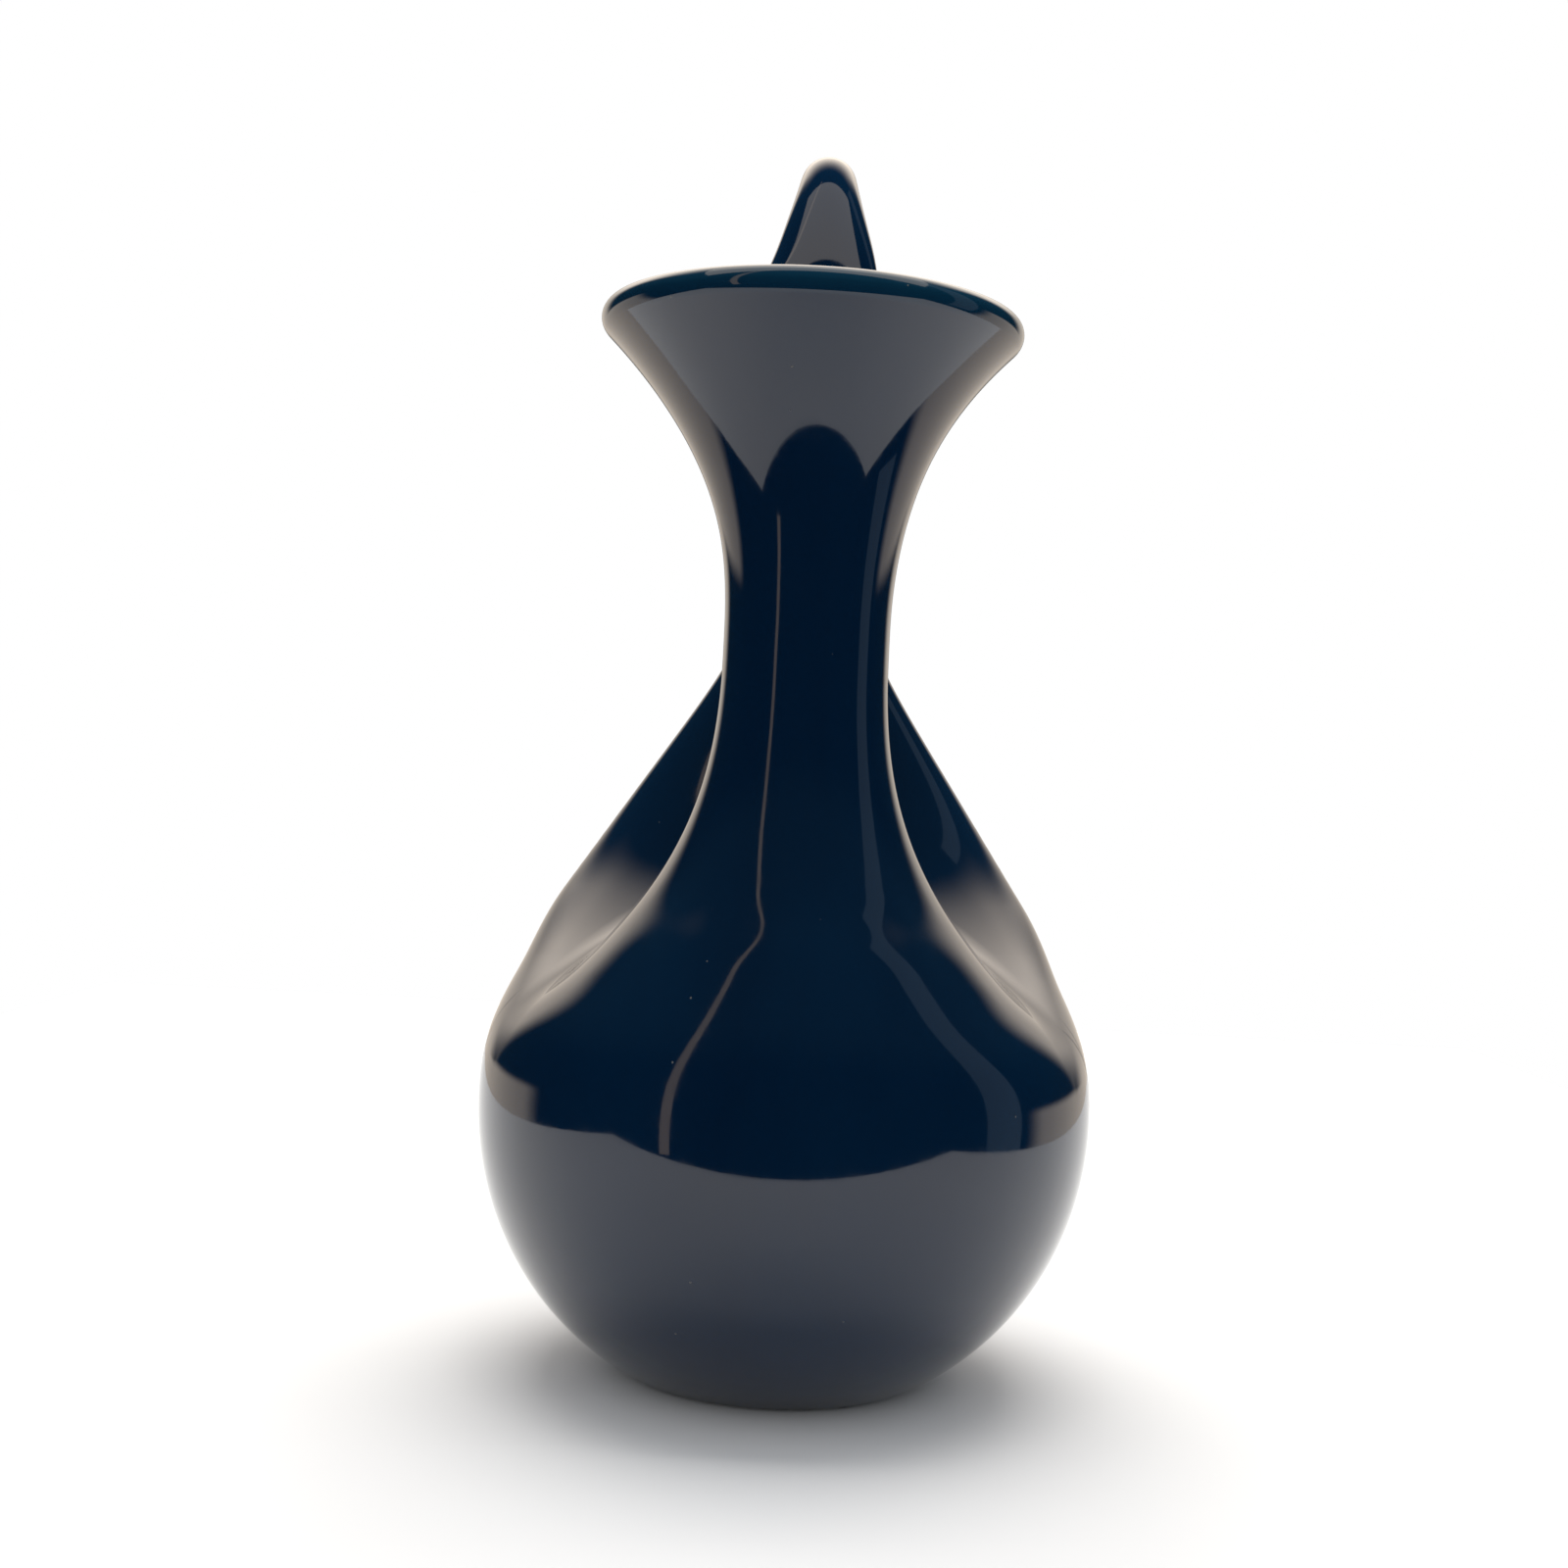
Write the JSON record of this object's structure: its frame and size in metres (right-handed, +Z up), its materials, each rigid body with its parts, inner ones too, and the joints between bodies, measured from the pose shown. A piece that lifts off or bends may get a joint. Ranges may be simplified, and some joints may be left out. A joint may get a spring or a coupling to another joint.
{
  "type": "ceramic ewer",
  "caption": "High-handled ceramic ewer: round belly, slender trumpet neck in front, and a broad cowl behind that draws out into a loop handle over the mouth.",
  "frame": {"origin": "centre of the foot on the table, under the middle of the belly", "axes": "+Z up through the belly, -Y towards the neck and mouth, +Y towards the handle, X across the plane of symmetry"},
  "size_m": [0.15, 0.15, 0.3107],
  "materials": {
    "dark_glaze": "deep blue-black glossy fired glaze",
    "lip_glaze": "the same glaze, a little thinner over the rolled lip",
    "bare_clay": "unglazed fired stoneware"
  },
  "bodies": {
    "root": {"foot_ring": "bare_clay", "base_disc": "bare_clay", "lower_bowl": "dark_glaze", "belly_coil": "bare_clay", "front_shoulder": "dark_glaze", "back_shoulder": "dark_glaze", "neck_tube": "dark_glaze", "mouth_flare": "dark_glaze", "lip_ring": "lip_glaze", "handle_cowl": "dark_glaze", "handle_stem": "dark_glaze", "handle_arch": "dark_glaze", "handle_root": "dark_glaze"}
  },
  "joints": []
}
